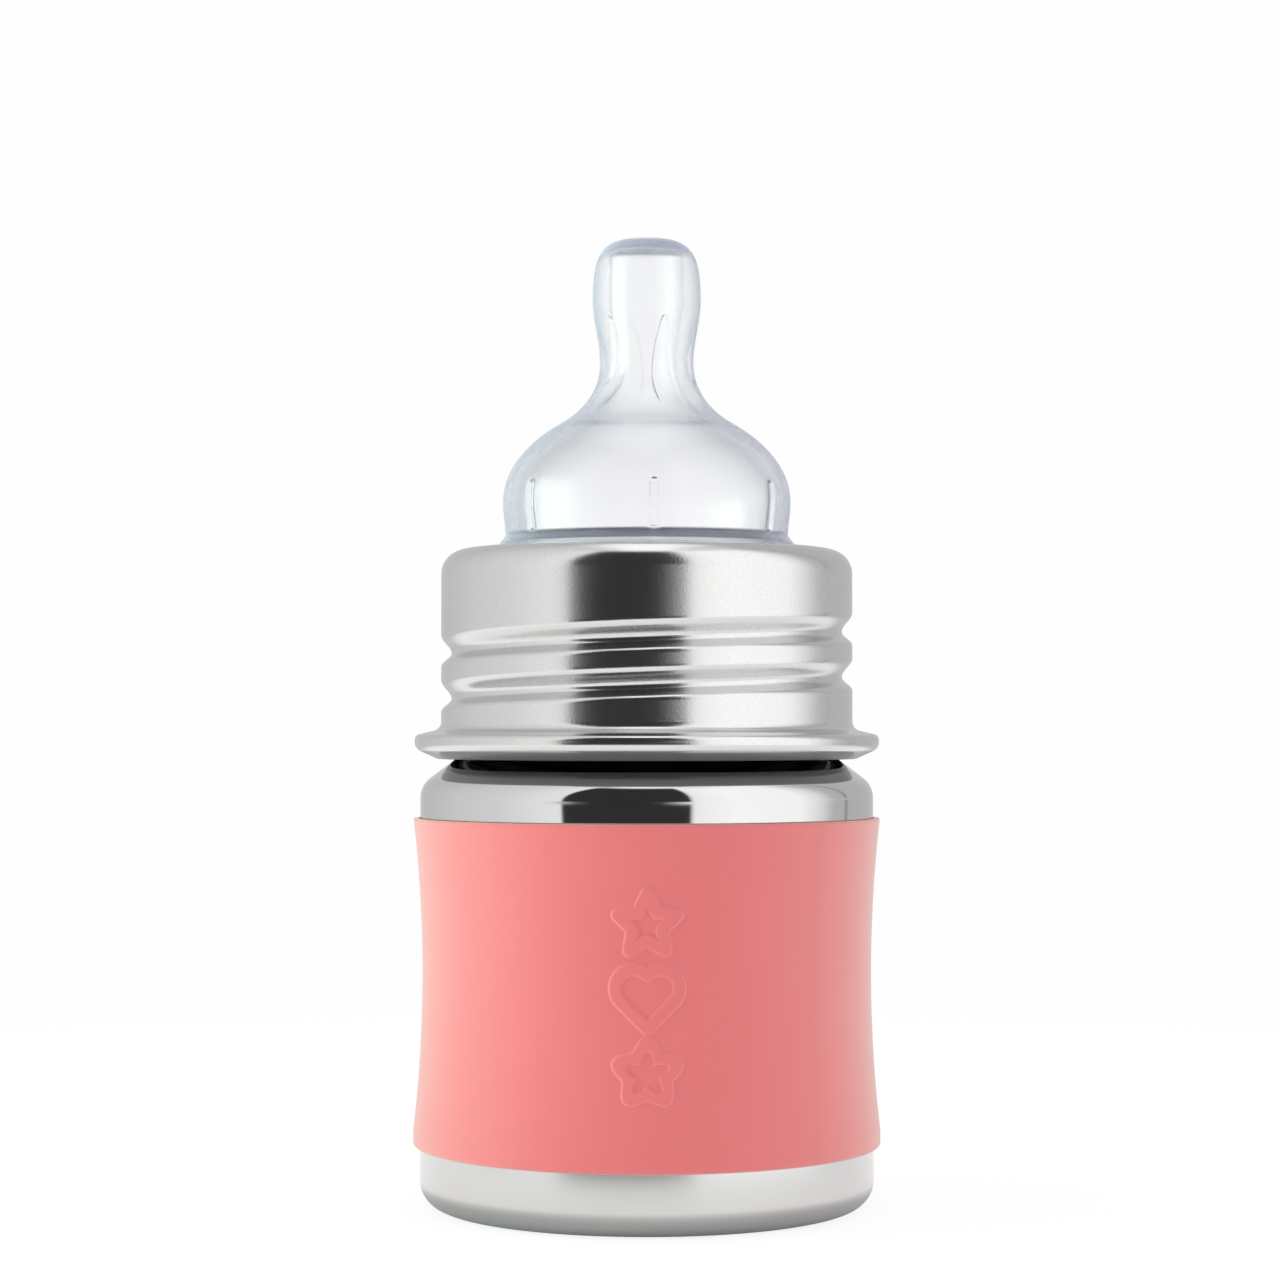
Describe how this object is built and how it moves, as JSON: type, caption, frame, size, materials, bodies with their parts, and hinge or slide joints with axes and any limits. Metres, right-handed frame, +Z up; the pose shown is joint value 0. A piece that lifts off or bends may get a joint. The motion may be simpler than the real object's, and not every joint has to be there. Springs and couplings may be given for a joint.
{
  "type": "baby bottle",
  "caption": "Small wide-neck stainless steel baby bottle with a threaded steel collar, a soft silicone nipple and a waisted silicone grip sleeve.",
  "frame": {"origin": "centre of the bottle's foot, on the surface that it stands on", "axes": "+Z up along the bottle's axis, towards the nipple's tip; -Y towards the front of the sleeve"},
  "size_m": [0.062, 0.062, 0.1288],
  "materials": {
    "polished_steel": "polished stainless steel",
    "base_steel": "satin stainless steel",
    "satin_steel": "satin stainless steel, softly reflecting",
    "clear_silicone": "clear soft silicone, smooth and translucent",
    "coral_silicone": "matte coral silicone"
  },
  "bodies": {
    "bottle": {"bottle_shell": "polished_steel", "base_plate": "base_steel"},
    "nipple": {"nipple": "clear_silicone"},
    "collar": {"collar": "satin_steel"},
    "sleeve": {"sleeve": "coral_silicone"}
  },
  "joints": [
    {"name": "nipple_lift", "type": "slide", "parent": "bottle", "child": "nipple", "axis": [0, 0, 1], "range_m": [0, 0.027]},
    {"name": "collar_turn", "type": "hinge", "parent": "nipple", "child": "collar", "pos_m": [0, 0, 0.0731], "axis": [0, 0, 1], "range_deg": [0, 1620]},
    {"name": "sleeve_turn", "type": "hinge", "parent": "bottle", "child": "sleeve", "pos_m": [0, 0, 0.03], "axis": [0, 0, 1], "continuous": true}
  ],
  "couplings": [
    {"joint": "nipple_lift", "follows": "collar_turn", "m_per_rad": 0.00095493}
  ]
}
